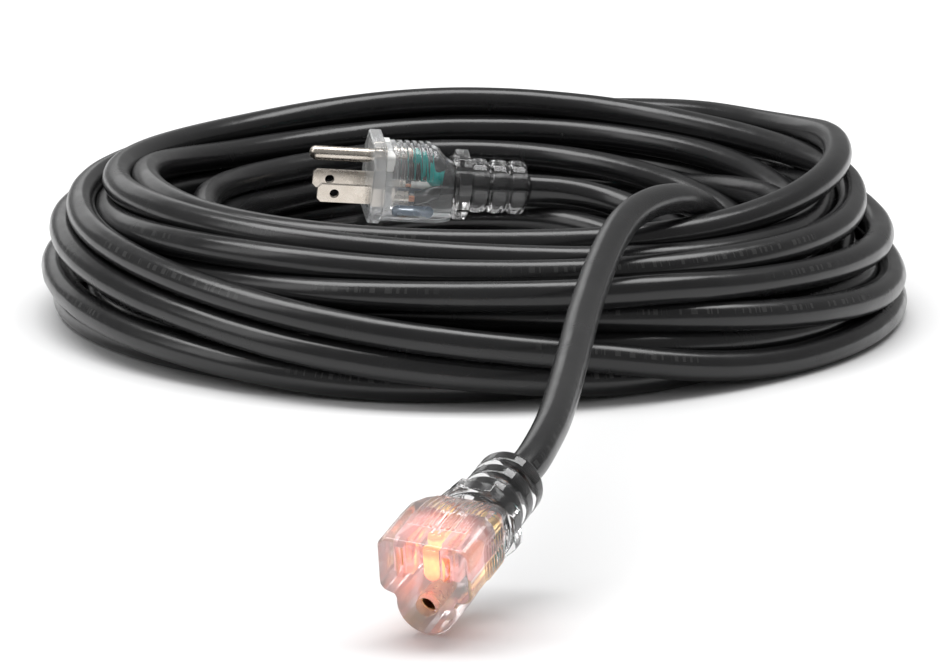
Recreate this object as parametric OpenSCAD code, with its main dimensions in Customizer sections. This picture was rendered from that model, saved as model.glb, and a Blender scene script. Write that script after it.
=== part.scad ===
// Grounded extension cord, coiled for storage.
// A clear moulded plug lies inside the coil and a clear lighted connector lies in front of it.
// Millimetres, +Z up. The origin is the centre of the coil on the floor.
// Both fittings are drawn in a local frame: +X out of the face, +Z up, face at x = 0.

/* [Cord] */
// Outer diameter of the jacketed cord
cord_d = 9.5; // [9:0.1:9.8]
// Whole length of the cord
cord_length = 15240; // [13000:10:16000]
// Diameter of one insulated conductor
wire_d = 3.9; // [3.5:0.1:4]
// Diameter of the bare copper strands of one conductor
strand_d = 2.4; // [2:0.1:2.6]

/* [Coil] */
// Diameter over the outermost turns
coil_d = 282; // [278:1:290]
// Height of the stacked turns
coil_h = 50; // [48:1:52]
// Share of the coil's section that is cord
coil_fill = 0.8; // [0.76:0.01:0.86]
// Diameter of the open eye inside the loose inner turns
eye_d = 132; // [126:1:136]
// Height of the loose inner turns that the plug lies on
inner_h = 15.5; // [14:0.5:15.5]

/* [Blades and pins] */
// Distance between the two blades, centre to centre
blade_gap = 12.7; // [12.7:0.1:12.7]
// Blade width
blade_w = 6.35; // [6.2:0.05:6.5]
// Blade thickness
blade_t = 1.52; // [1.4:0.01:1.6]
// Length of a blade in front of the face
blade_l = 17.7; // [16.5:0.1:18.5]
// Diameter of the hole near a blade's tip
blade_hole_d = 3.2; // [2.8:0.1:4]
// Distance from the face to the blade's hole
blade_hole_x = 11.9; // [11:0.1:12.5]
// Diameter of the ground pin
pin_d = 4.76; // [4.7:0.01:4.8]
// Length of the ground pin's straight part in front of the face
pin_l = 18.5; // [17:0.5:19]
// Distance from the blades' line to the ground pin
ground_offset = 11.9; // [11.9:0.1:11.9]

/* [Plug] */
// Length from the plug's face to the end of its strain relief
plug_l = 54.6; // [54:0.1:56]
// Width of the plug's flange
flange_w = 25; // [24.5:0.5:27]
// Thickness of the plug's flange
flange_t = 4.5; // [4:0.1:4.8]
// Number of grip ribs over the plug's body
grip_ribs = 6; // [3:1:6]

/* [Connector] */
// Length from the connector's face to the end of its strain relief
connector_l = 56; // [55:0.5:58]
// Width of the connector's face
face_w = 25; // [24.5:0.5:27]
// Thickness of the connector's front wall
face_t = 3.5; // [3:0.1:3.8]
// Diameter of the ground hole
ground_hole_d = 5.3; // [5.1:0.1:5.6]
// Diameter of the neon lamp
lamp_d = 4.2; // [3.6:0.1:4.6]

/* [Strain relief] */
// Diameter over the rings
ring_d = 18.4; // [17.6:0.1:19]
// Length of the ringed part
rings_l = 19.1; // [18.5:0.1:19.5]
// Length of the eight-sided collar in front of the rings
collar_l = 6.5; // [6:0.1:7]

/* [Places] */
// Centre of the plug's face
plug_at = [-34.5, 63, 30];
// Turn of the plug about its X, Y and Z
plug_turn = [-12, -5, 190];
// Centre of the connector's face
connector_at = [-10, -378, 13.2];
// Turn of the connector about its X, Y and Z
connector_turn = [-3.5, 15, 246];

/* [Hidden] */
$fn = 48;

black = [0.09, 0.09, 0.1];
clear = [0.86, 0.88, 0.9, 0.5];
warm_clear = [0.95, 0.76, 0.74, 0.5];
nickel = [0.72, 0.68, 0.6];
brass = [0.8, 0.62, 0.3];
copper = [0.8, 0.42, 0.26];
green = [0.02, 0.5, 0.47];
white = [0.92, 0.92, 0.9];

blade_y = blade_gap / 2;
blade_z = -2.9;
grip_half_w = 11.2;
arch_z = 3.2;
arch_r = 10.4;
pin_z = blade_z + ground_offset;
slot_z = 6.5;
hole_z = slot_z - ground_offset;

// Crimp barrels, wires and jacket end inside the plug, from the face back
shank_x = -8.5;
barrel_x = -13.5;
bare_x = -16;
jacket_x = -24.5;
barrel_d = 3.7;
wire_gap = 1;
body_x = rings_l + collar_l - plug_l;

// Where the conductors leave the jacket, about the cord's axis
bundle_y = 2.15;
bundle_z = 1.25;
bundle_ground = 2.5;

// Contacts inside the connector
leaf_t = 0.8;
leaf_gap = 1.5;
leaf_x = -18;
contact_back_x = -19.2;
contact_barrel_y = 5.2;
contact_barrel_z = 4.6;
contact_barrel_x = -24;
contact_bare_x = -26.5;
sleeve_d = 6;
sleeve_x = -22.5;
sleeve_barrel_x = -27;
connector_jacket_x = -33;
connector_body_x = rings_l + collar_l - connector_l;
lamp_x = -8.6;
lead_z = 9.6;
lead_d = 0.6;

// The coil's section holds the cord's volume, less what the inner turns and leads take
inner_turns = 3;
leads_l = 480;
inner_turn_r = 80;
main_length = cord_length - leads_l - inner_turns * 2 * PI * inner_turn_r;
section_moment = main_length * pow(cord_d, 2) / (8 * coil_h * coil_fill);
coil_inner_r = sqrt(pow(coil_d / 2, 2) - 2 * section_moment);

// Free route from the plug to the inner turns
plug_route = [[19, 72.4, 25.2], [30, 74, 24.3], [41, 72.5, 22.8], [51, 67.5, 21], [60, 59.5, 19],
    [67, 49.5, 17], [72.5, 38, 15.2], [76, 26, 13.6], [78, 13, 12.2], [79, 0, 11.2]];
// Free route from the connector up over the front of the coil and down inside it
connector_route = [[12.7, -329, 28], [17, -319, 30.2], [20.5, -305, 32.2], [23.5, -289, 34],
    [26, -270, 36], [28.3, -250, 38.2], [30.5, -230, 40.5], [33, -208, 43.5], [36, -186, 46.5],
    [39.5, -164, 49.8], [43.5, -144, 53], [48, -126, 55], [54, -109, 55.6], [61, -93.5, 54.6],
    [67.5, -80, 51.8], [73, -67.5, 47.2], [78, -55.5, 41], [82.5, -43.5, 34.5], [87, -31.5, 28.5],
    [91.5, -19, 23.5], [96, -6, 20]];

// ---------- shared shapes ----------

module plug_place() translate(plug_at) rotate(plug_turn) children();

module connector_place() translate(connector_at) rotate(connector_turn) children();

// Turns a flat (Y, Z) outline into a solid between two X planes
module along_x(x0, x1) translate([x0, 0, 0]) rotate([90, 0, 90]) linear_extrude(x1 - x0) children();

// Turns a flat (X, Z) outline into a solid between two Y planes
module along_y(y0, y1) translate([0, y1, 0]) rotate([90, 0, 0]) linear_extrude(y1 - y0) children();

module rod_x(x0, x1, d, y = 0, z = 0)
    translate([x0, y, z]) rotate([0, 90, 0]) cylinder(h = x1 - x0, d = d);

module block(low, high) translate(low) cube(high - low);

module rounded_rect(low, high, r) {
    size = high - low;
    translate(low + [r, 0]) square([size[0] - 2 * r, size[1]]);
    translate(low + [0, r]) square([size[0], size[1] - 2 * r]);
    for (x = [low[0] + r, high[0] - r], y = [low[1] + r, high[1] - r])
        translate([x, y]) circle(r);
}

// Straight round wire between two points
module wire(ends, d) {
    step = ends[1] - ends[0];
    translate(ends[0])
        rotate([0, acos(step[2] / norm(step)), atan2(step[1], step[0])])
            cylinder(h = norm(step), d = d);
}

function unit(v) = v / norm(v);

function tangent(p, i) = unit(p[min(i + 1, len(p) - 1)] - p[max(i - 1, 0)]);

// Cord tube: one ring of points square to the route at each of its points
module tube(route, d, sides = 10) {
    rings = [for (i = [0 : len(route) - 1])
        let (along = tangent(route, i), side = unit(cross(along, [0, 0, 1])), up = cross(side, along))
        for (k = [0 : sides - 1])
            route[i] + d / 2 * (cos(360 * k / sides) * side + sin(360 * k / sides) * up)];
    last = (len(route) - 1) * sides;
    walls = [for (i = [0 : len(route) - 2], k = [0 : sides - 1])
        let (a = i * sides + k, b = i * sides + (k + 1) % sides)
        each [[a, b, b + sides], [a, b + sides, a + sides]]];
    caps = [[for (k = [sides - 1 : -1 : 0]) k], [for (k = [0 : sides - 1]) last + k]];
    polyhedron(points = rings, faces = concat(walls, caps), convexity = 4);
}

// Three rings on a sleeve, behind an eight-sided collar; the sleeve's hole is the cord's size
module strain_relief(x_end, jacket_front) {
    groove = 0.9;
    ring = (rings_l - 3 * groove) / 3;
    sleeve = 14.6;
    bridge_w = 3.2;
    difference() {
        union() {
            rod_x(x_end, x_end + rings_l + collar_l, sleeve);
            for (i = [0 : 2]) {
                x = x_end + i * (ring + groove);
                rod_x(x + 0.6, x + ring - 0.6, ring_d);
                rod_x(x, x + ring, ring_d - 1.2);
            }
            for (i = [0 : 2], a = [45 + 90 * (i % 2), 225 + 90 * (i % 2)])
                rotate([a, 0, 0])
                    block([x_end + i * (ring + groove) + 1, -bridge_w / 2, 0],
                        [x_end + (i + 1) * (ring + groove) + 1, bridge_w / 2, ring_d / 2 - 0.8]);
            rod_x(x_end + rings_l, x_end + rings_l + collar_l, 20);
            along_x(x_end + rings_l + 0.8, x_end + rings_l + collar_l - 1.2)
                rotate(22.5) circle(d = 24.2, $fn = 8);
        }
        rod_x(x_end - 1, jacket_front, cord_d);
        children();
    }
}

// ---------- plug ----------

module flange_outline()
    polygon([[8.2, 15.5], [flange_w / 2, 8.5], [flange_w / 2, -7], [8.8, -12.4],
        [-8.8, -12.4], [-flange_w / 2, -7], [-flange_w / 2, 8.5], [-8.2, 15.5]]);

// Insulated conductors run straight from the jacket's end to the crimps
function conductor_ends(side) = [[jacket_x + wire_gap, side * bundle_y, -bundle_z],
    [bare_x - wire_gap, side * blade_y, blade_z]];

ground_ends = [[jacket_x + wire_gap, 0, bundle_ground], [bare_x - wire_gap, 0, pin_z]];

module blade_shape(side) {
    chamfer = 1.3;
    half = blade_w / 2;
    translate([0, side * blade_y, blade_z]) difference() {
        along_y(-blade_t / 2, blade_t / 2)
            polygon([[shank_x, -half], [blade_l - chamfer, -half], [blade_l, chamfer - half],
                [blade_l, half - chamfer], [blade_l - chamfer, half], [shank_x, half]]);
        translate([blade_hole_x, 0, 0]) rotate([90, 0, 0])
            cylinder(h = 4 * blade_t, d = blade_hole_d, center = true);
    }
    rod_x(barrel_x, shank_x, barrel_d, side * blade_y, blade_z);
}

module pin_shape() {
    neck_d = 4;
    rod_x(0, pin_l, pin_d, 0, pin_z);
    translate([pin_l, 0, pin_z]) sphere(d = pin_d);
    rod_x(shank_x, 0, neck_d, 0, pin_z);
    rod_x(barrel_x, shank_x, barrel_d, 0, pin_z);
}

module strand_hole(y, z) rod_x(barrel_x - 1, shank_x - 0.8, strand_d, y, z);

module bridge_block() along_x(-7.4, -flange_t)
    rounded_rect([-9.2, blade_z - 4.6], [9.2, pin_z + 3.6], 1.5);

// Everything that the plug's clear body is moulded round
module plug_core() {
    for (side = [-1, 1]) {
        blade_shape(side);
        wire(conductor_ends(side), wire_d);
        rod_x(bare_x, barrel_x, strand_d, side * blade_y, blade_z);
    }
    pin_shape();
    wire(ground_ends, wire_d);
    rod_x(bare_x, barrel_x, strand_d, 0, pin_z);
    bridge_block();
    rod_x(-plug_l, jacket_x, cord_d);
}

// Arched section over a flat-bottomed one, as wide as the grip
module grip_outline() {
    rounded_rect([-grip_half_w, -grip_half_w], [grip_half_w, 2], 3.5);
    translate([0, arch_z]) circle(arch_r);
}

module plug_body() color(clear) plug_place() {
    rib_pitch = 2.45;
    rib_t = 1.3;
    rib_x = -7.2;
    recess_depth = 0.8;
    difference() {
        union() {
            along_x(-flange_t, 0) flange_outline();
            intersection() {
                along_x(body_x, -flange_t) grip_outline();
                along_y(-13, 13)
                    polygon([[1, -12], [1, 15], [-22, 15], [body_x - 1, 7.7], [body_x - 1, -12]]);
            }
            for (i = [0 : grip_ribs - 1])
                along_x(rib_x - i * rib_pitch - rib_t, rib_x - i * rib_pitch) intersection() {
                    translate([0, arch_z]) circle(arch_r + 0.9);
                    translate([-12, 4]) square([24, 12]);
                }
        }
        for (side = [-1, 1])
            along_y(side * grip_half_w - recess_depth, side * grip_half_w + recess_depth)
                rounded_rect([-22.2, -8.6], [-7.8, -4.2], 2);
        plug_core();
    }
}

module plug_strain_relief() color(clear) plug_place() strain_relief(-plug_l, jacket_x);

module plug_blade_bridge() color(white) plug_place() difference() {
    bridge_block();
    blade_shape(-1);
    blade_shape(1);
    pin_shape();
}

module hot_blade() color(nickel) plug_place() difference() {
    blade_shape(1);
    strand_hole(blade_y, blade_z);
}

module neutral_blade() color(nickel) plug_place() difference() {
    blade_shape(-1);
    strand_hole(-blade_y, blade_z);
}

module ground_pin() color(nickel) plug_place() difference() {
    pin_shape();
    strand_hole(0, pin_z);
}

module plug_hot_wire() color(black) plug_place() wire(conductor_ends(1), wire_d);

module plug_neutral_wire() color(white) plug_place() wire(conductor_ends(-1), wire_d);

module plug_ground_wire() color(green) plug_place() wire(ground_ends, wire_d);

module plug_hot_strands() color(copper) plug_place()
    rod_x(bare_x, shank_x - 0.8, strand_d, blade_y, blade_z);

module plug_neutral_strands() color(copper) plug_place()
    rod_x(bare_x, shank_x - 0.8, strand_d, -blade_y, blade_z);

module plug_ground_strands() color(copper) plug_place()
    rod_x(bare_x, shank_x - 0.8, strand_d, 0, pin_z);

module plug_jacket_end() color(black) plug_place() rod_x(-plug_l, jacket_x, cord_d);

// ---------- connector ----------

module face_outline() {
    chin_r = 8.2;
    rounded_rect([-face_w / 2, -3], [face_w / 2, 12.5], 3);
    translate([0, hole_z]) circle(chin_r);
}

function socket_ends(side) = [[connector_jacket_x + wire_gap, side * bundle_y, bundle_z],
    [contact_bare_x - wire_gap, side * contact_barrel_y, contact_barrel_z]];

sleeve_bare_x = -29;
socket_ground_ends = [[connector_jacket_x + wire_gap, 0, -bundle_ground],
    [sleeve_bare_x - wire_gap / 2, 0, hole_z]];

lamp_top = 8.2;
lamp_low = -0.4;
resistor_x = [-18, -12.5];
lead_y = 0.85;
lead_back_x = -18.6;

// Two leaves joined by a back plate, with a crimp barrel behind it
module contact_shape(side) {
    half_w = 3.3;
    low_z = slot_z - half_w;
    y_out = leaf_gap / 2 + leaf_t;
    y0 = side * blade_y;
    block([leaf_x, y0 - y_out, low_z], [-face_t - 0.4, y0 - leaf_gap / 2, slot_z + half_w]);
    block([leaf_x, y0 + leaf_gap / 2, low_z], [-face_t - 0.4, y0 + y_out, slot_z + half_w]);
    block([contact_back_x, y0 - y_out, low_z - 1], [leaf_x, y0 + y_out, slot_z + half_w]);
    rod_x(contact_barrel_x, contact_back_x, barrel_d, side * contact_barrel_y, contact_barrel_z);
}

module contact_bore(side)
    rod_x(contact_barrel_x - 1, contact_back_x - 0.8, strand_d, side * contact_barrel_y,
        contact_barrel_z);

module sleeve_shape() {
    rod_x(sleeve_x, -face_t, sleeve_d, 0, hole_z);
    rod_x(sleeve_barrel_x, sleeve_x, barrel_d, 0, hole_z);
}

// Solid shapes that the connector's clear body is moulded round, and the ways in for a plug
module connector_core() {
    for (side = [-1, 1]) {
        slot_h = side < 0 ? 8.5 : 7;
        block([-face_t, side * blade_y - 1, slot_z - slot_h / 2],
            [1, side * blade_y + 1, slot_z + slot_h / 2]);
        block([contact_back_x, side * blade_y - 2.6, slot_z - 4.3],
            [-face_t, side * blade_y + 2.6, slot_z + 4.3]);
        rod_x(contact_barrel_x, contact_back_x, barrel_d, side * contact_barrel_y,
            contact_barrel_z);
        rod_x(contact_bare_x, contact_barrel_x, strand_d, side * contact_barrel_y,
            contact_barrel_z);
        wire(socket_ends(side), wire_d);
    }
    rod_x(-face_t, 1, ground_hole_d, 0, hole_z);
    sleeve_shape();
    rod_x(sleeve_bare_x, sleeve_barrel_x, strand_d, 0, hole_z);
    wire(socket_ground_ends, wire_d);
    lamp_shape();
    rod_x(resistor_x[0], resistor_x[1], 2.4, lead_y, lead_z);
    lamp_lead(1);
    lamp_lead(-1);
    rod_x(-connector_l, connector_jacket_x, cord_d);
}

module lamp_shape() {
    translate([lamp_x, 0, lamp_low + lamp_d / 2]) {
        cylinder(h = lamp_top - lamp_low - lamp_d / 2, d = lamp_d);
        sphere(d = lamp_d);
    }
}

// Square-cut lead: up out of the lamp, back along the top and out to its contact
module lamp_lead(side) {
    half = lead_d / 2;
    y = side * lead_y;
    y_end = side * (blade_y - leaf_gap / 2 - leaf_t);
    block([lamp_x - half, y - half, lamp_top], [lamp_x + half, y + half, lead_z + half]);
    block([lead_back_x - half, y - half, lead_z - half], [lamp_x + half, y + half, lead_z + half]);
    block([lead_back_x - half, min(y - half, y_end), lead_z - half],
        [lead_back_x + half, max(y + half, y_end), lead_z + half]);
}

module electrode_pair() for (side = [-1, 1])
    translate([lamp_x, side * lead_y, lamp_low + 2.4])
        cylinder(h = lamp_top - lamp_low - 2.4, d = 0.8);

// Side view of the connector's body: level over the contacts, then down to the collar
module body_profile(grow = 0)
    polygon([[1, -14], [1, 12.5 + grow], [-15, 12.5 + grow], [-22, 11.6 + grow],
        [connector_body_x, 8.8 + grow], [connector_body_x, -9.4], [-20, -12.4], [-10, -14]]);

// Top view of the same: flat sides, then in to the collar
module body_plan() {
    half = face_w / 2;
    polygon([[1, -half], [1, half], [-18, half], [-25, half - 1.2], [connector_body_x, 9.6],
        [connector_body_x, -9.6], [-25, 1.2 - half], [-18, -half]]);
}

module connector_body() color(warm_clear) connector_place() {
    rib_h = 0.45;
    difference() {
        union() {
            intersection() {
                along_x(connector_body_x, 0) face_outline();
                along_y(-14, 14) body_profile();
                translate([0, 0, -16]) linear_extrude(32) body_plan();
            }
            intersection() {
                for (i = [-5 : 5]) block([-27, i * 1.5 - 0.35, 9], [-9, i * 1.5 + 0.35, 14]);
                along_y(-14, 14) body_profile(rib_h);
            }
            for (side = [-1, 1], i = [0 : 6]) mirror([0, side < 0 ? 1 : 0, 0])
                block([-11.4 - i * 1.5, face_w / 2 - 0.6, 0],
                    [-10.6 - i * 1.5, face_w / 2 + rib_h, 8]);
        }
        connector_core();
    }
}

module connector_strain_relief() color(warm_clear) connector_place()
    strain_relief(-connector_l, connector_jacket_x) {
        for (side = [-1, 1]) wire(socket_ends(side), wire_d);
        wire(socket_ground_ends, wire_d);
    }

module hot_contact() color(brass) connector_place() difference() {
    contact_shape(1);
    contact_bore(1);
}

module neutral_contact() color(brass) connector_place() difference() {
    contact_shape(-1);
    contact_bore(-1);
}

module ground_contact() color(brass) connector_place() difference() {
    sleeve_shape();
    rod_x(sleeve_x + 0.8, 0, 4.9, 0, hole_z);
    rod_x(sleeve_barrel_x - 1, sleeve_x - 0.8, strand_d, 0, hole_z);
}

module connector_hot_wire() color(black) connector_place() wire(socket_ends(1), wire_d);

module connector_neutral_wire() color(white) connector_place() wire(socket_ends(-1), wire_d);

module connector_ground_wire() color(green) connector_place() wire(socket_ground_ends, wire_d);

module connector_hot_strands() color(copper) connector_place()
    rod_x(contact_bare_x, contact_back_x - 0.8, strand_d, contact_barrel_y, contact_barrel_z);

module connector_neutral_strands() color(copper) connector_place()
    rod_x(contact_bare_x, contact_back_x - 0.8, strand_d, -contact_barrel_y, contact_barrel_z);

module connector_ground_strands() color(copper) connector_place()
    rod_x(sleeve_bare_x, sleeve_x - 0.8, strand_d, 0, hole_z);

module lamp_glass() color([1, 0.7, 0.5, 0.5]) connector_place() difference() {
    lamp_shape();
    electrode_pair();
}

module lamp_electrodes() color([1, 0.5, 0.2]) connector_place() electrode_pair();

module lamp_resistor() color([0.75, 0.6, 0.42]) connector_place() difference() {
    rod_x(resistor_x[0], resistor_x[1], 2.4, lead_y, lead_z);
    lamp_lead(1);
}

module lamp_leads() color(nickel) connector_place() {
    lamp_lead(1);
    lamp_lead(-1);
}

module connector_jacket_end() color(black) connector_place()
    rod_x(-connector_l, connector_jacket_x, cord_d);

// ---------- cord ----------

module cord_coil() color(black) rotate_extrude($fn = 96) {
    rounded_rect([coil_inner_r, 0], [coil_d / 2, coil_h], 8);
    rounded_rect([eye_d / 2, 0], [coil_inner_r + 8, inner_h], cord_d / 2);
}

module plug_lead() color(black) tube(plug_route, cord_d);

module connector_lead() color(black) tube(connector_route, cord_d);

plug_body();
plug_strain_relief();
plug_blade_bridge();
hot_blade();
neutral_blade();
ground_pin();
plug_hot_wire();
plug_neutral_wire();
plug_ground_wire();
plug_hot_strands();
plug_neutral_strands();
plug_ground_strands();
plug_jacket_end();
connector_body();
connector_strain_relief();
hot_contact();
neutral_contact();
ground_contact();
connector_hot_wire();
connector_neutral_wire();
connector_ground_wire();
connector_hot_strands();
connector_neutral_strands();
connector_ground_strands();
lamp_glass();
lamp_electrodes();
lamp_resistor();
lamp_leads();
connector_jacket_end();
cord_coil();
plug_lead();
connector_lead();
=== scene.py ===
"""Looks of a coiled extension cord with clear moulded ends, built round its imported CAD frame.

Metres, +Z up, origin at the coil's centre on the floor. The fittings are drawn in the same local
frame as in the CAD source: +X out of the face, +Z up, face at x = 0, in millimetres times MM.
"""

import math

import bpy
import bmesh
import numpy as np
from mathutils import Euler, Matrix, Vector


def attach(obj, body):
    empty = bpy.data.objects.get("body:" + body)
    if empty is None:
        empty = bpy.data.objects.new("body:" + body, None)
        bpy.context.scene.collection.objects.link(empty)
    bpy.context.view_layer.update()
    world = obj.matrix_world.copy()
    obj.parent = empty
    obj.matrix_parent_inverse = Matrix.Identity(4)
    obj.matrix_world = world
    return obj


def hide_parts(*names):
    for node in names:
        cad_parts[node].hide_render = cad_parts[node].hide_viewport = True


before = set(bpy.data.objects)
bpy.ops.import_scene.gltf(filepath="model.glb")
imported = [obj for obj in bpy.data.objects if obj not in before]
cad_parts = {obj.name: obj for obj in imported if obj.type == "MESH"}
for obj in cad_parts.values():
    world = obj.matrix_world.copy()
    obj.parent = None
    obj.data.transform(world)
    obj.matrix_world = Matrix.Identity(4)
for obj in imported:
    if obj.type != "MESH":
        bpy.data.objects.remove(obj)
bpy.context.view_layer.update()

MM = 0.001
CORD_D = 0.0095

# ---------- camera ----------

# The photograph's viewing angle and field of view, as estimated from it
CAMERA_AT = (0.0028, -1.463, 0.330)
CAMERA_DOWN = 13.05
LENS = 171.9


def make_camera():
    data = bpy.data.cameras.new("camera")
    data.sensor_width = 36.0
    data.lens = LENS
    data.clip_start = 0.05
    data.clip_end = 50.0
    camera = bpy.data.objects.new("camera", data)
    camera.location = CAMERA_AT
    camera.rotation_euler = (math.radians(90 - CAMERA_DOWN), 0, 0)
    bpy.context.scene.collection.objects.link(camera)
    bpy.context.scene.camera = camera


make_camera()

# ---------- the cord's way ----------

# Centreline from the plug to the loose inner turns, and from the connector over the coil's front
PLUG_ROUTE = [
    (0.019, 0.0724, 0.0252), (0.030, 0.074, 0.0243), (0.041, 0.0725, 0.0228),
    (0.051, 0.0675, 0.021), (0.060, 0.0595, 0.019), (0.067, 0.0495, 0.017),
    (0.0725, 0.038, 0.0152), (0.076, 0.026, 0.0136), (0.078, 0.013, 0.0122),
    (0.079, 0.0, 0.0112),
]
CONNECTOR_ROUTE = [
    (0.0127, -0.329, 0.028), (0.017, -0.319, 0.0302), (0.0205, -0.305, 0.0322),
    (0.0235, -0.289, 0.034), (0.026, -0.270, 0.036), (0.0283, -0.250, 0.0382),
    (0.0305, -0.230, 0.0405), (0.033, -0.208, 0.0435), (0.036, -0.186, 0.0465),
    (0.0395, -0.164, 0.0498), (0.0435, -0.144, 0.053), (0.048, -0.126, 0.055),
    (0.054, -0.109, 0.0556), (0.061, -0.0935, 0.0546), (0.0675, -0.080, 0.0518),
    (0.073, -0.0675, 0.0472), (0.078, -0.0555, 0.041), (0.0825, -0.0435, 0.0345),
    (0.087, -0.0315, 0.0285), (0.0915, -0.019, 0.0235), (0.096, -0.006, 0.020),
]

# One row a turn, from the plug's end of the cord on. Each pair is the turn's radius and height in
# millimetres at eight stations, clockwise from above: right, right front, front, left front, left,
# left back, back and right back.
TURNS = [
    # loose inner turns
    ((79, 11), (80, 11), (81, 11), (81, 11), (80, 11), (80, 11), (80, 11), (77, 8)),
    ((73, 5), (72, 5), (72, 5), (72, 5), (72, 5), (73, 5), (74, 5), (80, 5)),
    ((86, 5), (87, 5), (87, 5), (87, 5), (86, 5), (86, 5), (88, 5), (93, 6)),
    # lower and outer turns
    ((97, 5), (98, 5), (100, 5), (100, 5), (99, 5), (100, 5), (102, 5), (103, 5)),
    ((100, 13), (101, 14), (103, 14), (102, 14), (102, 14), (105, 13), (107, 14), (108, 13)),
    ((107, 5), (107, 5), (111, 5), (112, 5), (111, 5), (114, 5), (113, 5), (113, 5)),
    ((127, 14), (123, 16), (113, 14), (111, 14), (111, 14), (116, 13), (118, 14), (118, 13)),
    ((117, 13), (113, 13), (121, 5), (124, 5), (131, 5), (133, 5), (127, 5), (121, 5)),
    ((117, 5), (116, 5), (134, 5), (135, 13), (135, 20), (136, 17), (137, 14), (127, 13)),
    ((122, 20), (124, 6), (139, 13), (132, 24), (132, 33), (133, 31), (134, 28), (124, 31)),
    # upper turns
    ((112, 34), (115, 37), (111, 43), (112, 46), (115, 46), (118, 45), (120, 49), (117, 44)),
    ((121, 37), (124, 38), (121, 40), (120, 42), (118, 38), (121, 36), (126, 40), (128, 31)),
    ((134, 28), (131, 31), (131, 35), (120, 31), (120, 29), (122, 27), (124, 31), (134, 22)),
    ((136, 13), (135, 19), (121, 25), (117, 21), (121, 18), (124, 19), (128, 24), (136, 14)),
    ((127, 5), (130, 11), (128, 18), (121, 12), (121, 9), (125, 11), (128, 15), (132, 6)),
    ((136, 5), (138, 5), (140, 21), (128, 33), (125, 40), (128, 41), (134, 40), (129, 40)),
    ((119, 47), (109, 44), (104, 45), (104, 46), (106, 47), (109, 39), (116, 40), (113, 38)),
    # inner wall
    ((111, 26), (112, 28), (112, 32), (110, 36), (107, 36), (111, 29), (118, 26), (116, 22)),
    ((112, 16), (111, 19), (110, 22), (108, 26), (108, 24), (112, 20), (118, 21), (114, 20)),
    ((105, 21), (103, 22), (98, 24), (87, 30), (78, 30), (95, 24), (111, 22), (107, 22)),
    ((104, 30), (105, 31), (101, 34), (94, 37), (86, 37), (98, 33), (112, 31), (101, 28)),
]

STATIONS = 8
SPANS = 12
# Spline points left off the first turn, so that the plug's lead runs into it
JOIN_AT = 3

# How the laid turns settle: lengths in metres, the sink for one round
STEP = 0.006
ROUNDS = 240
FINE_STEP = 0.004
SINK = 0.00002
SINK_SPAN = (0.15, 0.85)
WIDEST = 0.1395
PULL_IN = 0.3
NEAR_GAP = 0.005
RELIST = 12
EASE = 12
CROWD = 0.6

# Where each fitting's face is, in metres, and its turns in degrees, as in the CAD source
PLACES = {
    "plug": ((-0.0345, 0.063, 0.030), (-12, -5, 190)),
    "connector": ((-0.010, -0.378, 0.0132), (-3.5, 15, 246)),
}
# The plug as capsules in its own frame: two ends and a radius. The turns are pushed out of them
PLUG_CAPSULES = (
    ((0, 0, 0.002), (-0.030, 0, 0), 0.0125),
    ((-0.030, 0, 0), (-0.048, 0, 0), 0.0095),
)


def place(fitting):
    """The matrix from a fitting's local frame, in metres, to the shared frame."""
    at, turn = PLACES[fitting]
    turned = Euler([math.radians(a) for a in turn], "XYZ").to_matrix().to_4x4()
    return Matrix.Translation(at) @ turned


def spline(points, steps):
    """Catmull-Rom curve through the points, with that many steps between neighbours."""
    p = np.vstack([2 * points[0] - points[1], points, 2 * points[-1] - points[-2]])
    t = np.linspace(0, 1, steps, endpoint=False)[:, None]
    spans = [
        0.5 * (2 * b + (c - a) * t + (2 * a - 5 * b + 4 * c - d) * t**2 + (3 * b - a - 3 * c + d) * t**3)
        for a, b, c, d in zip(p[:-3], p[1:-2], p[2:-1], p[3:])
    ]
    return np.vstack(spans + [points[-1:]])


def bridge(before, after, steps=14):
    """Hermite curve over the gap between two lines, square to both."""
    a, b = before[-1], after[0]
    out, into = before[-1] - before[-2], after[1] - after[0]
    span = np.linalg.norm(b - a)
    out, into = out * span / np.linalg.norm(out), into * span / np.linalg.norm(into)
    t = np.linspace(0, 1, steps)[1:-1, None]
    return (
        (2 * t**3 - 3 * t**2 + 1) * a + (t**3 - 2 * t**2 + t) * out
        + (3 * t**2 - 2 * t**3) * b + (t**3 - t**2) * into
    )


def length_of(line):
    return float(np.linalg.norm(np.diff(line, axis=0), axis=1).sum())


def respaced(line, step):
    """The line again, with points that far apart."""
    along = np.concatenate([[0], np.cumsum(np.linalg.norm(np.diff(line, axis=0), axis=1))])
    at = np.linspace(0, along[-1], int(round(along[-1] / step)) + 1)
    return np.stack([np.interp(at, along, line[:, k]) for k in range(3)], axis=1)


def close_pairs(points, within, skip):
    """Pairs of points nearer than that, and at least skip apart along the line."""
    x = points.astype(np.float32)
    square = (x * x).sum(1)
    first, second = [], []
    chunk = 400
    for a in range(0, len(x), chunk):
        b = min(a + chunk, len(x))
        gap = square[a:b, None] + square[None, a:] - 2 * x[a:b] @ x[a:].T
        i, j = np.nonzero(gap < within * within)
        keep = j - i >= skip
        first.append(i[keep] + a)
        second.append(j[keep] + a)
    return np.concatenate(first), np.concatenate(second)


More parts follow.
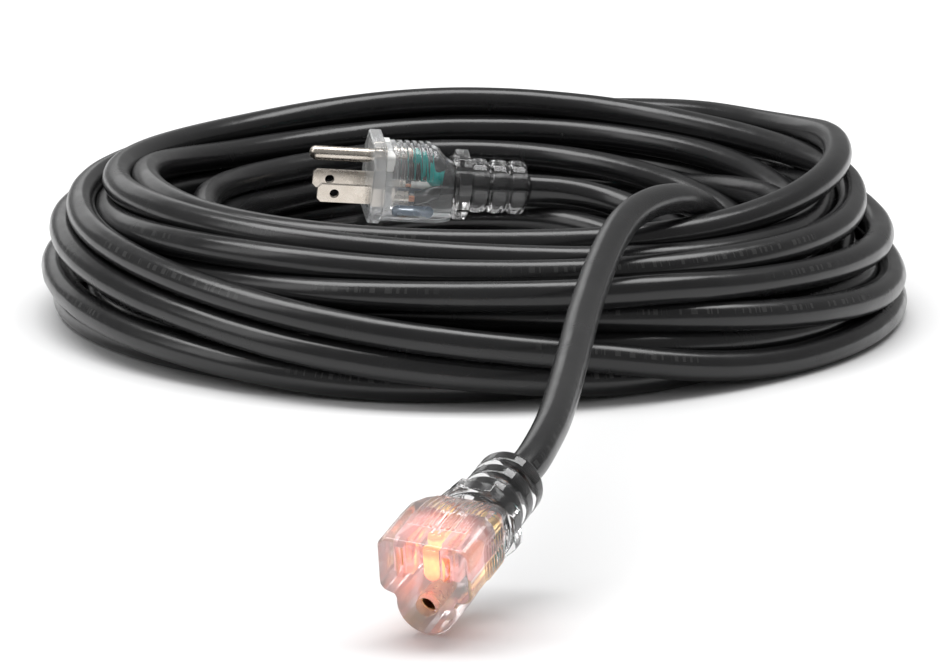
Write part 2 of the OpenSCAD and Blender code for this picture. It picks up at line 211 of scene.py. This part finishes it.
def settle(start, pinned_in, pinned_out, obstacles):
    """Lets the laid line settle: turns push each other towards a diameter apart, and sink a little.

    The two leads are pinned. The pushes are smoothed, so turns may still overlap slightly.
    """
    d = CORD_D
    count = len(start)
    free = np.ones(count)
    free[:pinned_in] = 0
    free[count - pinned_out:] = 0
    easing = np.linspace(0, 1, EASE)[1:-1]
    free[pinned_in:pinned_in + len(easing)] = easing
    free[count - pinned_out - len(easing):count - pinned_out] = easing[::-1]
    x = start.copy()
    for turn in range(ROUNDS):
        if turn % RELIST == 0:
            i, j = close_pairs(x, d + NEAR_GAP, int(4 * d / STEP))
        apart = x[i] - x[j]
        far = np.linalg.norm(apart, axis=1) + 1e-9
        hit = far < d
        away = apart[hit] / far[hit, None] * (d - far[hit])[:, None]
        a, b = i[hit], j[hit]
        both = np.maximum(free[a] + free[b], 1e-6)
        push_a = away * (free[a] / both)[:, None]
        push_b = -away * (free[b] / both)[:, None]
        touching = np.bincount(a, minlength=count) + np.bincount(b, minlength=count)
        for k in range(3):
            push = np.bincount(a, push_a[:, k], count) + np.bincount(b, push_b[:, k], count)
            x[:, k] += push / np.maximum(touching, 1) ** CROWD
        if SINK_SPAN[0] < turn / ROUNDS < SINK_SPAN[1]:
            x[:, 2] -= SINK * free
        radius = np.hypot(x[:, 0], x[:, 1])
        out = (radius > WIDEST) & (free > 0)
        x[out, :2] *= (1 - PULL_IN * (1 - WIDEST / radius[out]))[:, None]
        for low, high, reach in obstacles:
            along = high - low
            t = np.clip(((x - low) @ along) / (along @ along), 0, 1)
            off = x - low - t[:, None] * along
            near = np.linalg.norm(off, axis=1)
            inside = (near < reach) & (free > 0)
            x[inside] += off[inside] * (reach / near[inside] - 1)[:, None]
        moved = (x - start) * free[:, None]
        for _ in range(2):
            moved[1:-1] = 0.25 * moved[:-2] + 0.5 * moved[1:-1] + 0.25 * moved[2:]
            moved *= free[:, None] > 0
        x = start + moved
        x[:, 2] = np.maximum(x[:, 2], d / 2)
    return x


def cord_line():
    """The whole centreline, from the plug's end to the connector's."""
    stations = spline(np.array([s for turn in TURNS for s in turn], float) * MM, SPANS)
    angle = -np.arange(len(stations)) * 2 * math.pi / (STATIONS * SPANS)
    turns = np.stack(
        [stations[:, 0] * np.cos(angle), stations[:, 0] * np.sin(angle), stations[:, 1]], axis=1
    )[JOIN_AT:]
    lead_in = spline(np.array(PLUG_ROUTE), 8)
    lead_out = spline(np.array(CONNECTOR_ROUTE)[::-1], 8)
    line = np.vstack([
        lead_in, bridge(lead_in, turns), turns, bridge(turns, lead_out), lead_out
    ])
    line = respaced(line, STEP)
    plug = place("plug")
    obstacles = [
        (np.array(plug @ Vector(a)), np.array(plug @ Vector(b)), r + CORD_D / 2)
        for a, b, r in PLUG_CAPSULES
    ]
    return settle(line, int(length_of(lead_in) / STEP), int(length_of(lead_out) / STEP), obstacles)


# ---------- mesh helpers ----------

def link(name, mesh, smooth=True):
    piece = bpy.data.objects.new(name, mesh)
    bpy.context.scene.collection.objects.link(piece)
    if smooth:
        mesh.shade_smooth()
    return piece


def mesh_from(name, points, faces):
    mesh = bpy.data.meshes.new(name)
    mesh.from_pydata([tuple(p) for p in points], [], faces)
    mesh.update()
    return mesh


def tube(name, line, d, sides=20):
    """Round tube along a line, with its length along U and its way round along V."""
    line = np.asarray(line, float)
    along = np.gradient(line, axis=0)
    along /= np.linalg.norm(along, axis=1)[:, None]
    side = np.cross(along, [0, 0, 1])
    side /= np.linalg.norm(side, axis=1)[:, None] + 1e-9
    up = np.cross(side, along)
    turn = np.linspace(0, 2 * math.pi, sides, endpoint=False)
    across, over = np.cos(turn)[None, :, None], np.sin(turn)[None, :, None]
    rings = line[:, None, :] + d / 2 * (across * side[:, None, :] + over * up[:, None, :])
    faces = []
    for i in range(len(line) - 1):
        for k in range(sides):
            a, b = i * sides + k, i * sides + (k + 1) % sides
            faces.append((a, b, b + sides, a + sides))
    last = (len(line) - 1) * sides
    faces.append(tuple(range(sides - 1, -1, -1)))
    faces.append(tuple(last + k for k in range(sides)))
    mesh = mesh_from(name, rings.reshape(-1, 3), faces)
    length = np.concatenate([[0], np.cumsum(np.linalg.norm(np.diff(line, axis=0), axis=1))])
    layer = mesh.uv_layers.new(name="UVMap")
    uv = np.zeros((len(mesh.loops), 2), np.float32)
    at = 0
    for i in range(len(line) - 1):
        for k in range(sides):
            uv[at:at + 4] = [
                (length[i], k / sides), (length[i], (k + 1) / sides),
                (length[i + 1], (k + 1) / sides), (length[i + 1], k / sides),
            ]
            at += 4
    layer.data.foreach_set("uv", uv.ravel())
    return link(name, mesh)


def prism(bm, outline, x0, x1):
    """Closed prism of a flat (Y, Z) outline between two X planes."""
    back = [bm.verts.new((x0, y, z)) for y, z in outline]
    front = [bm.verts.new((x1, y, z)) for y, z in outline]
    bm.faces.new(back[::-1])
    bm.faces.new(front)
    for i in range(len(outline)):
        j = (i + 1) % len(outline)
        bm.faces.new((back[i], back[j], front[j], front[i]))


def slab(bm, outline, y0, y1):
    """Closed prism of a flat (X, Z) outline between two Y planes."""
    near = [bm.verts.new((x, y0, z)) for x, z in outline]
    far = [bm.verts.new((x, y1, z)) for x, z in outline]
    bm.faces.new(near)
    bm.faces.new(far[::-1])
    for i in range(len(outline)):
        j = (i + 1) % len(outline)
        bm.faces.new((near[i], near[j], far[j], far[i]))


def loft(bm, sections):
    """Closed skin through (x, outline) sections whose outlines have equal counts of points."""
    rings = [[bm.verts.new((x, y, z)) for y, z in outline] for x, outline in sections]
    bm.faces.new(rings[0][::-1])
    bm.faces.new(rings[-1])
    for a, b in zip(rings[:-1], rings[1:]):
        for i in range(len(a)):
            j = (i + 1) % len(a)
            bm.faces.new((a[i], a[j], b[j], b[i]))


def lathe(bm, profile, y=0.0, z=0.0, sides=64):
    """Solid of revolution about a line along X, from (x, radius) points."""
    loft(bm, [
        (x, [(y + r * math.cos(a), z + r * math.sin(a)) for a in
             (2 * math.pi * k / sides for k in range(sides))])
        for x, r in profile
    ])


def block(bm, low, high):
    (x0, y0, z0), (x1, y1, z1) = low, high
    prism(bm, [(y0, z0), (y1, z0), (y1, z1), (y0, z1)], x0, x1)


def rounded(low, high, r, steps=6):
    """Points of a rounded rectangle, anticlockwise."""
    out = []
    for cx, cy, start in (
        (high[0] - r, low[1] + r, -90), (high[0] - r, high[1] - r, 0),
        (low[0] + r, high[1] - r, 90), (low[0] + r, low[1] + r, 180),
    ):
        for k in range(steps + 1):
            a = math.radians(start + 90 * k / steps)
            out.append((cx + r * math.cos(a), cy + r * math.sin(a)))
    return out


def local_mesh(name, build):
    """Mesh of what build(bm) draws in millimetres, scaled to metres, still in its local frame."""
    bm = bmesh.new()
    build(bm)
    bmesh.ops.recalc_face_normals(bm, faces=bm.faces)
    bmesh.ops.scale(bm, vec=(MM, MM, MM), verts=bm.verts)
    mesh = bpy.data.meshes.new(name)
    bm.to_mesh(mesh)
    bm.free()
    return mesh


VOXEL = 0.00023 * 1


def moulded(name, build, cut, fitting, looks, tinted=None):
    """One soft-edged moulding from overlapping solids, with crisp openings cut in it afterwards.

    Faces in the box tinted, given in millimetres with Y as a distance from the middle, take looks[1].
    """
    piece = link(name, local_mesh(name, build))
    remesh = piece.modifiers.new("remesh", "REMESH")
    remesh.mode = "VOXEL"
    remesh.voxel_size = VOXEL
    smooth = piece.modifiers.new("smooth", "SMOOTH")
    smooth.factor = 0.5
    smooth.iterations = 2
    if cut:
        cutter = link(name + "_cut", local_mesh(name + "_cut", cut))
        boolean = piece.modifiers.new("openings", "BOOLEAN")
        boolean.operation = "DIFFERENCE"
        boolean.solver = "EXACT"
        boolean.use_self = True
        boolean.object = cutter
    final = bpy.data.meshes.new_from_object(
        piece.evaluated_get(bpy.context.evaluated_depsgraph_get())
    )
    if cut:
        bpy.data.objects.remove(cutter)
    piece.modifiers.clear()
    piece.data = final
    final.materials.clear()
    for look in looks:
        final.materials.append(look)
    if tinted:
        low, high = (Vector(corner) * MM for corner in tinted)
        for face in final.polygons:
            c = face.center
            off_middle = low.y < abs(c.y) < high.y
            face.material_index = int(low.x < c.x < high.x and off_middle and low.z < c.z < high.z)
    final.transform(place(fitting))
    final.shade_smooth()
    return piece


# ---------- materials ----------

def material(name, slot_values):
    """New material with one Principled shader; returns it, its node tree and the shader."""
    made = bpy.data.materials.new(name)
    made.use_nodes = True
    shader = made.node_tree.nodes["Principled BSDF"]
    for socket, value in slot_values.items():
        shader.inputs[socket].default_value = value
    return made, made.node_tree, shader


def ramp(tree, source, stops):
    """Colour ramp over a 0 to 1 value; stops are (position, colour)."""
    made = tree.nodes.new("ShaderNodeValToRGB")
    points = made.color_ramp.elements
    points[0].position, points[0].color = stops[0][0], (*stops[0][1], 1)
    points[1].position, points[1].color = stops[-1][0], (*stops[-1][1], 1)
    for at, colour in stops[1:-1]:
        point = points.new(at)
        point.color = (*colour, 1)
    tree.links.new(source, made.inputs["Fac"])
    return made.outputs["Color"]


def noise(tree, scale, detail=3.0, stretch=(1, 1, 1), coords="Object"):
    at = tree.nodes.new("ShaderNodeTexCoord").outputs[coords]
    shift = tree.nodes.new("ShaderNodeMapping")
    shift.inputs["Scale"].default_value = stretch
    tree.links.new(at, shift.inputs["Vector"])
    made = tree.nodes.new("ShaderNodeTexNoise")
    made.inputs["Scale"].default_value = scale
    made.inputs["Detail"].default_value = detail
    tree.links.new(shift.outputs["Vector"], made.inputs["Vector"])
    return made.outputs["Fac"]


def spread(tree, source, low, high, to_low, to_high):
    made = tree.nodes.new("ShaderNodeMapRange")
    for key, value in (("From Min", low), ("From Max", high), ("To Min", to_low), ("To Max", to_high)):
        made.inputs[key].default_value = value
    tree.links.new(source, made.inputs["Value"])
    return made.outputs["Result"]


def bump(tree, shader, height, strength, distance):
    made = tree.nodes.new("ShaderNodeBump")
    made.inputs["Strength"].default_value = strength
    made.inputs["Distance"].default_value = distance
    tree.links.new(height, made.inputs["Height"])
    tree.links.new(made.outputs["Normal"], shader.inputs["Normal"])


def varied(name, dark, light, rough, bump_scale=400):
    """A surface whose colour and roughness drift a little, with a fine bump."""
    made, tree, shader = material(name, {})
    drift = noise(tree, 60)
    tree.links.new(ramp(tree, drift, [(0.3, dark), (0.7, light)]), shader.inputs["Base Color"])
    tree.links.new(spread(tree, drift, 0.3, 0.7, rough[0], rough[1]), shader.inputs["Roughness"])
    bump(tree, shader, noise(tree, bump_scale), 0.4, 0.03 * MM)
    return made


def cord_material():
    """Glossy black jacket: slow ripple along it, fine grain, and a faint row of plain tick marks."""
    made, tree, shader = material("cord_black", {"Specular IOR Level": 0.5})
    drift = noise(tree, 25, 4)
    base = ramp(tree, drift, [(0.3, (0.009, 0.009, 0.0095)), (0.7, (0.015, 0.015, 0.0155))])
    uv = tree.nodes.new("ShaderNodeTexCoord").outputs["UV"]
    parts = tree.nodes.new("ShaderNodeSeparateXYZ")
    tree.links.new(uv, parts.inputs["Vector"])
    ticks = tree.nodes.new("ShaderNodeTexNoise")
    ticks.noise_dimensions = "1D"
    ticks.inputs["Scale"].default_value = 420
    ticks.inputs["Detail"].default_value = 2
    tree.links.new(parts.outputs["X"], ticks.inputs["W"])
    on = spread(tree, ticks.outputs["Fac"], 0.53, 0.56, 0, 1)
    spans = tree.nodes.new("ShaderNodeTexNoise")
    spans.noise_dimensions = "1D"
    spans.inputs["Scale"].default_value = 7
    spans.inputs["Detail"].default_value = 0
    tree.links.new(parts.outputs["X"], spans.inputs["W"])
    run = spread(tree, spans.outputs["Fac"], 0.56, 0.6, 0, 1)
    # V runs from 0 at a turn's inner side, over its top, to 0.5 at its outer side
    band = tree.nodes.new("ShaderNodeMath")
    band.operation = "COMPARE"
    band.inputs[1].default_value = 0.41
    band.inputs[2].default_value = 0.03
    tree.links.new(parts.outputs["Y"], band.inputs[0])
    mark = on
    for other in (run, band.outputs["Value"]):
        product = tree.nodes.new("ShaderNodeMath")
        product.operation = "MULTIPLY"
        tree.links.new(mark, product.inputs[0])
        tree.links.new(other, product.inputs[1])
        mark = product.outputs["Value"]
    mix = tree.nodes.new("ShaderNodeMix")
    mix.data_type = "RGBA"
    mix.inputs["B"].default_value = (0.035, 0.035, 0.035, 1)
    tree.links.new(mark, mix.inputs["Factor"])
    tree.links.new(base, mix.inputs["A"])
    tree.links.new(mix.outputs["Result"], shader.inputs["Base Color"])
    tree.links.new(spread(tree, noise(tree, 90), 0.3, 0.7, 0.2, 0.28), shader.inputs["Roughness"])
    ripple = noise(tree, 1.0, 3, stretch=(55, 2.2, 1), coords="UV")
    bump(tree, shader, ripple, 0.35, 0.0006)
    return made


def by_distance(tree, centre, near, far, at_near, at_far):
    """Value that eases from one to another with the distance from a fixed point of the object."""
    at = tree.nodes.new("ShaderNodeTexCoord").outputs["Object"]
    off = tree.nodes.new("ShaderNodeVectorMath")
    off.operation = "DISTANCE"
    off.inputs[1].default_value = centre
    tree.links.new(at, off.inputs[0])
    fall = tree.nodes.new("ShaderNodeMapRange")
    fall.interpolation_type = "SMOOTHERSTEP"
    for key, value in (
        ("From Min", near), ("From Max", far), ("To Min", at_near), ("To Max", at_far),
    ):
        fall.inputs[key].default_value = value
    tree.links.new(off.outputs["Value"], fall.inputs["Value"])
    return fall.outputs["Result"]


def clear_material(name, tint, rough, clarity, face=None, glow=None):
    """Clear vinyl. clarity is at the face and behind it, or one value; glow is lamp light in it."""
    made, tree, shader = material(name, {"Transmission Weight": clarity[-1], "IOR": 1.49})
    low = tuple(0.95 * c for c in tint)
    tree.links.new(ramp(tree, noise(tree, 180), [(0.3, low), (0.7, tint)]), shader.inputs["Base Color"])
    tree.links.new(spread(tree, noise(tree, 320), 0.3, 0.7, *rough), shader.inputs["Roughness"])
    bump(tree, shader, noise(tree, 500), 0.12, 0.00003)
    if face:
        clearer = by_distance(tree, face, 0.014, 0.022, *clarity)
        tree.links.new(clearer, shader.inputs["Transmission Weight"])
    if glow:
        centre, reach, colour, strength = glow
        shader.inputs["Emission Color"].default_value = (*colour, 1)
        tree.links.new(
            by_distance(tree, centre, 0.005, reach, strength, 0), shader.inputs["Emission Strength"]
        )
    return made


def metal(name, dark, light, rough):
    """Bare metal whose colour and roughness drift a little."""
    made, tree, shader = material(name, {"Metallic": 1.0})
    drift = noise(tree, 220, 4)
    tree.links.new(ramp(tree, drift, [(0.3, dark), (0.7, light)]), shader.inputs["Base Color"])
    tree.links.new(spread(tree, noise(tree, 500, 2), 0.3, 0.7, *rough), shader.inputs["Roughness"])
    bump(tree, shader, noise(tree, 700, 2), 0.08, 0.00001)
    return made


# The lamp's middle, and the points that the clear looks are measured from
LAMP_AT = tuple(place("connector") @ Vector((-8.6 * MM, 0, 4.2 * MM)))
PLUG_FACE = tuple(place("plug") @ Vector((3 * MM, 0, 2 * MM)))
CONNECTOR_FACE = tuple(place("connector") @ Vector((0, 0, 2 * MM)))

CORD = cord_material()
CLEAR = clear_material("clear_vinyl", (0.96, 0.97, 0.98), (0.04, 0.1), (0.7, 0.94), PLUG_FACE)
CLEAR_NECK = clear_material("clear_neck", (0.97, 0.97, 0.97), (0.03, 0.08), (0.99,))
RECESS = clear_material("recess_blue_grey", (0.42, 0.5, 0.6), (0.2, 0.3), (0.55,))
# The connector's vinyl takes a pink tint and a pink glow that fades out from the lamp: both are painted
# lamp light
CLEAR_PAINTED_GLOW = clear_material(
    "clear_vinyl_painted_glow", (1.0, 0.94, 0.94), (0.07, 0.16), (0.74, 0.88), CONNECTOR_FACE,
    (LAMP_AT, 0.017, (1.0, 0.17, 0.12), 0.4),
)
NICKEL = metal("dull_nickel", (0.60, 0.54, 0.47), (0.68, 0.62, 0.55), (0.24, 0.31))
BRASS = metal("stamped_brass", (0.62, 0.42, 0.16), (0.80, 0.58, 0.26), (0.22, 0.4))
COPPER = metal("bare_copper", (0.62, 0.25, 0.14), (0.85, 0.42, 0.26), (0.25, 0.42))
TIN = metal("tinned_lead", (0.6, 0.6, 0.58), (0.78, 0.78, 0.76), (0.2, 0.35))
GREEN = varied("green_insulation", (0.0, 0.36, 0.33), (0.0, 0.5, 0.46), (0.25, 0.35))
WHITE = varied("white_insulation", (0.74, 0.74, 0.71), (0.84, 0.84, 0.82), (0.25, 0.38))
BLACK = varied("black_insulation", (0.015, 0.015, 0.015), (0.03, 0.03, 0.03), (0.25, 0.35))
BRIDGE = varied("white_moulding", (0.7, 0.7, 0.68), (0.82, 0.82, 0.8), (0.4, 0.55), bump_scale=900)
TAN = varied("tan_lacquer", (0.45, 0.3, 0.17), (0.62, 0.45, 0.28), (0.3, 0.4))


def glow_material(name, colour, low, high):
    """Glowing gas or metal, brightest at the middle of the lamp, with a slight waver."""
    made, tree, shader = material(name, {"Roughness": 0.4})
    deep = (colour[0], 0.45 * colour[1], 0.4 * colour[2])
    middle = by_distance(tree, LAMP_AT, 0.0022, 0.0048, 1, 0)
    warm = ramp(tree, middle, [(0, deep), (1, colour)])
    tree.links.new(warm, shader.inputs["Emission Color"])
    tree.links.new(warm, shader.inputs["Base Color"])
    waver = spread(tree, noise(tree, 350), 0.3, 0.7, low, high)
    tree.links.new(waver, shader.inputs["Emission Strength"])
    return made


GLOW = glow_material("neon_glow", (1.0, 0.5, 0.16), 1.0, 1.9)
HOT = glow_material("lit_electrodes", (1.0, 0.76, 0.4), 7, 10)


# ---------- the cord ----------

def make_cord():
    line = cord_line()
    fine = respaced(spline(line, 2), FINE_STEP)
    cord = tube("cord", fine, CORD_D, 20)
    cord.data.materials.append(CORD)
    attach(cord, "root")
    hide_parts("cord_coil", "plug_lead", "connector_lead")
    return cord, fine


cord, cord_path = make_cord()

# ---------- clear mouldings ----------

# From a fitting's middle, in millimetres: each blade or slot, and the connector's ground hole
BLADE_Y = 6.35
GROUND_Z = -5.4


def polar(radius, degrees):
    a = math.radians(degrees)
    return (radius * math.cos(a), radius * math.sin(a))


def scaled(outline, by):
    return [(by * y, by * z) for y, z in outline]


def strain_relief(bm, x_end):
    """Three soft rings on a sleeve, with bars across their grooves, behind an eight-sided collar."""
    pitch, groove, length, collar = 6.67, 0.9, 19.1, 6.5
    sleeve, shoulder, ring = 7.3, 8.9, 9.25
    lathe(bm, [(x_end + 0.3, sleeve), (x_end + length + collar - 0.3, sleeve)])
    for i in range(3):
        x = x_end + i * pitch
        thick = pitch - groove - 0.17
        lathe(bm, [
            (x, 8.2), (x + 0.35, shoulder), (x + 1.2, ring), (x + thick - 1.2, ring),
            (x + thick - 0.35, shoulder), (x + thick, 8.2),
        ])
        for turn in (0, 180):
            a = math.radians(45 + 90 * (i % 2) + turn)
            c, s = math.cos(a), math.sin(a)
            half, reach = 1.6, 8.5
            corners = [(-half, 0), (half, 0), (half, reach), (-half, reach)]
            prism(bm, [(p * c - q * s, p * s + q * c) for p, q in corners], x + 1, x + pitch + 1)
    lathe(bm, [(x_end + length, 9.6), (x_end + length + 0.6, 10), (x_end + length + collar - 0.2, 10)])
    octagon = [polar(12.1, 22.5 + 45 * k) for k in range(8)]
    prism(bm, octagon, x_end + length + 0.9, x_end + length + collar - 1.2)


def grip_section(top, width, low):
    """Arch over a flat bottom with cut corners: 32 points from the lower left, anticlockwise."""
    out = [
        (-width + 2.2, low), (width - 2.2, low), (width - 0.6, low + 0.8), (width, low + 2.4), (width, 0.5),
    ]
    for k in range(24):
        a = math.radians(4 + 172 * k / 23)
        out.append(((width - 0.8) * math.cos(a), 1.5 + (top - 1.5) * math.sin(a)))
    out += [(-width, 0.5), (-width, low + 2.4), (-width + 0.6, low + 0.8)]
    return out


def plug_solids(bm):
    """Eight-sided face flange, grip that narrows to the back, and six ribs over its top."""
    half = [(8.2, 15.5), (12.5, 8.5), (12.5, -7), (8.8, -12.4)]
    flange = [(-y, z) for y, z in half] + half[::-1]
    loft(bm, [(-4.5, scaled(flange, 0.97)), (-4.1, flange), (-0.5, flange), (0, scaled(flange, 0.965))])
    loft(bm, [
        (-28.9, grip_section(7.9, 9.6, -10.6)), (-27, grip_section(9.0, 10.4, -11.0)),
        (-24, grip_section(12.2, 11.2, -11.2)), (-22.4, grip_section(13.5, 11.2, -11.2)),
        (-21, grip_section(13.6, 11.2, -11.2)), (-4.2, grip_section(13.6, 11.2, -11.2)),
    ])
    arch = [
        (11.0 * math.cos(math.radians(a)), 3.4 + 11.1 * math.sin(math.radians(a)))
        for a in range(8, 173, 6)
    ]
    rib, rib_pitch = 1.35, 2.45
    for i in range(6):
        x = -7.2 - rib_pitch * i
        prism(bm, arch, x - rib, x)


def plug_recesses(bm):
    """A long round-ended recess in each side of the grip."""
    wall, depth = 11.2, 1.5
    for side in (-1, 1):
        slab(bm, rounded((-22.2, -8.6), (-7.8, -4.2), 2.1), side * wall - depth, side * wall + depth)


def face_outline(half, top, low=-3.0, chin_r=8.2, chin_z=GROUND_Z, r=2.6):
    """Connector's section: level top with round corners, and a round chin below its bottom edge."""
    def arc(y, z, radius, start, end, steps):
        turns = [math.radians(start + (end - start) * k / steps) for k in range(steps + 1)]
        return [(y + radius * math.cos(a), z + radius * math.sin(a)) for a in turns]

    side = half - r
    waist = chin_r + 0.5
    return (
        arc(side, top - r, r, 0, 90, 6) + arc(-side, top - r, r, 90, 180, 6)
        + arc(-side, low + r, r, 180, 262, 5) + [(-waist, low - 0.4)]
        + arc(0, chin_z, chin_r, 172, 368, 18) + [(waist, low - 0.4)]
        + arc(side, low + r, r, 278, 360, 5)
    )


def connector_solids(bm):
    """Body that narrows to the back, fine ridges along its top and two rows of ribs on each side."""
    loft(bm, [
        (-30.3, face_outline(9.4, 8.8, -2.6, 6.6, -2.8)),
        (-25, face_outline(11.3, 10.9, -3, 7.4, -4.2)),
        (-20, face_outline(12.5, 12.1, -3, 8.0, -5.0)),
        (-14, face_outline(12.5, 12.5)),
        (-0.6, face_outline(12.5, 12.5)),
        (0, face_outline(12.1, 12.1, -2.6, 7.8)),
    ])
    for i in range(11):
        y = 1.5 * (i - 5)
        ridge = [(-27, 7), (-9, 7), (-9, 12.9), (-15, 12.9), (-20, 12.5), (-25, 11.3), (-27, 10.5)]
        slab(bm, ridge, y - 0.3, y + 0.3)
    for side in (-1, 1):
        for i in range(7):
            for low, high in ((-0.5, 3.5), (4.5, 8.5)):
                x = -10.6 - 1.5 * i
                y0, y1 = sorted((side * 11, side * 13.1))
                block(bm, (x - 0.8, y0, low), (x, y1, high))
        y0, y1 = sorted((side * 11, side * 12.7))
        slab(bm, rounded((-21.6, -1.6), (-9.6, 9.6), 2), y0, y1)


def connector_openings(bm):
    """Blade slots, the neutral one taller, the contact cavities behind them, and the ground hole."""
    slot_z, hole_r = 6.5, 2.65
    for side, tall in ((-1, 8.5), (1, 7.0)):
        y = side * BLADE_Y
        block(bm, (-3.6, y - 1, slot_z - tall / 2), (1, y + 1, slot_z + tall / 2))
        block(bm, (-19.0, y - 2.5, 2.4), (-3.5, y + 2.5, 10.6))
    lathe(bm, [(-21, hole_r), (1, hole_r)], 0, GROUND_Z, 40)


def make_fitting(fitting, build, cut, x_end, looks, tinted=None):
    """A fitting's shell, and its strain relief from x_end forwards."""
    shell = moulded(fitting + "_shell", build, cut, fitting, looks, tinted)
    relief = moulded(
        fitting + "_relief", lambda bm: strain_relief(bm, x_end), None, fitting, [CLEAR_NECK]
    )
    for piece, part in ((shell, "body"), (relief, "strain_relief")):
        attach(piece, "root")
        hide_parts(f"{fitting}_{part}")


RECESS_FLOORS = ((-22.3, 9.4, -8.7), (-7.7, 11.0, -4.1))
make_fitting(
    "plug", plug_solids, plug_recesses, -54.6, [CLEAR, RECESS], RECESS_FLOORS
)
make_fitting("connector", connector_solids, connector_openings, -56, [CLEAR_PAINTED_GLOW])

# ---------- conductors inside the mouldings ----------

WIRE_D = 3.9
STRAND_D = 0.8
TWIST_R = 0.78
TWIST = 0.6


def in_place(line, fitting):
    """A line of a fitting's own frame, in millimetres, put in the shared frame in metres."""
    matrix = np.array(place(fitting))
    return line * MM @ matrix[:3, :3].T + matrix[:3, 3]


def conductor(name, fitting, start, end, look, cad):
    """Insulated wire that leaves the jacket straight and bends over to its crimp."""
    a, b = Vector(start), Vector(end)
    reach = (b - a).x * 0.55
    t = np.linspace(0, 1, 25)[:, None]
    p0, p3 = np.array(a), np.array(b)
    p1, p2 = p0 + [reach, 0, 0], p3 - [reach, 0, 0]
    line = (1 - t)**3 * p0 + 3 * (1 - t)**2 * t * p1 + 3 * (1 - t) * t**2 * p2 + t**3 * p3
    piece = tube(name, in_place(line, fitting), WIRE_D * MM, 24)
    piece.data.materials.append(look[0])
    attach(piece, "root")
    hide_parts(cad)


def strands(name, fitting, x0, x1, y, z, cad):
    """Six bare strands twisted round a seventh."""
    parts = []
    t = np.linspace(0, 1, 12)
    for k in range(7):
        a = 2 * math.pi * (k / 6 + TWIST * t)
        off = 0 if k == 6 else TWIST_R
        line = np.stack([x0 + (x1 - x0) * t, y + off * np.cos(a), z + off * np.sin(a)], axis=1)
        parts.append(tube(f"{name}_{k}", in_place(line, fitting), STRAND_D * MM, 8))
    with bpy.context.temp_override(active_object=parts[0], selected_editable_objects=parts):
        bpy.ops.object.join()
    piece = parts[0]
    piece.name = name
    piece.data.materials.append(COPPER)
    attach(piece, "root")
    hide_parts(cad)


for kind, side, look in (
    ("hot", 1, (BLACK, "insulation_black")), ("neutral", -1, (WHITE, "insulation_white")),
):
    conductor(
        f"plug_{kind}_lead", "plug", (-25, side * 2.15, -1.25), (-15.6, side * BLADE_Y, -2.9),
        look, f"plug_{kind}_wire",
    )
    strands(
        f"plug_{kind}_copper", "plug", -16, -9.4, side * BLADE_Y, -2.9, f"plug_{kind}_strands"
    )
    conductor(
        f"connector_{kind}_lead", "connector", (-33.5, side * 2.15, 1.25), (-26.2, side * 5.2, 4.6),
        look, f"connector_{kind}_wire",
    )
    strands(
        f"connector_{kind}_copper", "connector", -26.6, -20.2, side * 5.2, 4.6,
        f"connector_{kind}_strands",
    )
EARTH = (GREEN, "insulation_green")
conductor("plug_ground_lead", "plug", (-25, 0, 1.2), (-14.6, 0, 8.4), EARTH, "plug_ground_wire")
strands("plug_ground_copper", "plug", -16, -9.4, 0, 9.0, "plug_ground_strands")
conductor(
    "connector_ground_lead", "connector", (-33.5, 0, -2.5), (-28.8, 0, GROUND_Z), EARTH,
    "connector_ground_wire",
)
strands(
    "connector_ground_copper", "connector", -29.2, -23.4, 0, GROUND_Z, "connector_ground_strands"
)

# ---------- looks of the CAD pieces that stay ----------

LOOKS = {
    "hot_blade": NICKEL, "neutral_blade": NICKEL, "ground_pin": NICKEL, "plug_blade_bridge": BRIDGE,
    "plug_jacket_end": CORD, "connector_jacket_end": CORD, "hot_contact": BRASS,
    "neutral_contact": BRASS, "ground_contact": BRASS, "lamp_glass": GLOW, "lamp_electrodes": HOT,
    "lamp_resistor": TAN, "lamp_leads": TIN,
}
for name, look in LOOKS.items():
    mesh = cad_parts[name].data
    mesh.materials.clear()
    mesh.materials.append(look)


# ---------- floor and light ----------

def make_stage():
    half = 6.0
    corners = [(-half, -half, 0), (half, -half, 0), (half, half, 0), (-half, half, 0)]
    floor = link("floor", mesh_from("floor", corners, [(0, 1, 2, 3)]), smooth=False)
    look, tree, shader = material("pale_floor", {"Roughness": 0.65, "Specular IOR Level": 0.2})
    tree.links.new(
        ramp(tree, noise(tree, 3), [(0.3, (0.86, 0.86, 0.865)), (0.7, (0.88, 0.88, 0.88))]),
        shader.inputs["Base Color"],
    )
    floor.data.materials.append(look)


def area_light(name, at, towards, size, power):
    data = bpy.data.lights.new(name, "AREA")
    data.shape = "RECTANGLE"
    data.size, data.size_y = size
    data.energy = power
    light = bpy.data.objects.new(name, data)
    light.location = at
    light.rotation_euler = (Vector(towards) - Vector(at)).to_track_quat("-Z", "Y").to_euler()
    bpy.context.scene.collection.objects.link(light)


def make_light():
    world = bpy.data.worlds.new("studio")
    world.use_nodes = True
    background = world.node_tree.nodes["Background"]
    background.inputs["Color"].default_value = (1, 1, 1, 1)
    background.inputs["Strength"].default_value = 0.3
    bpy.context.scene.world = world
    area_light("top", (0.0, 0.25, 1.5), (0, 0.05, 0), (2.4, 0.8), 36)
    area_light("left", (-1.3, -0.4, 0.9), (0, -0.1, 0), (0.6, 1.0), 3.5)
    area_light("back", (-0.9, 1.9, 0.85), (0, 0, 0), (1.6, 0.7), 3)
    bpy.context.scene.view_settings.view_transform = "Standard"


make_stage()
make_light()
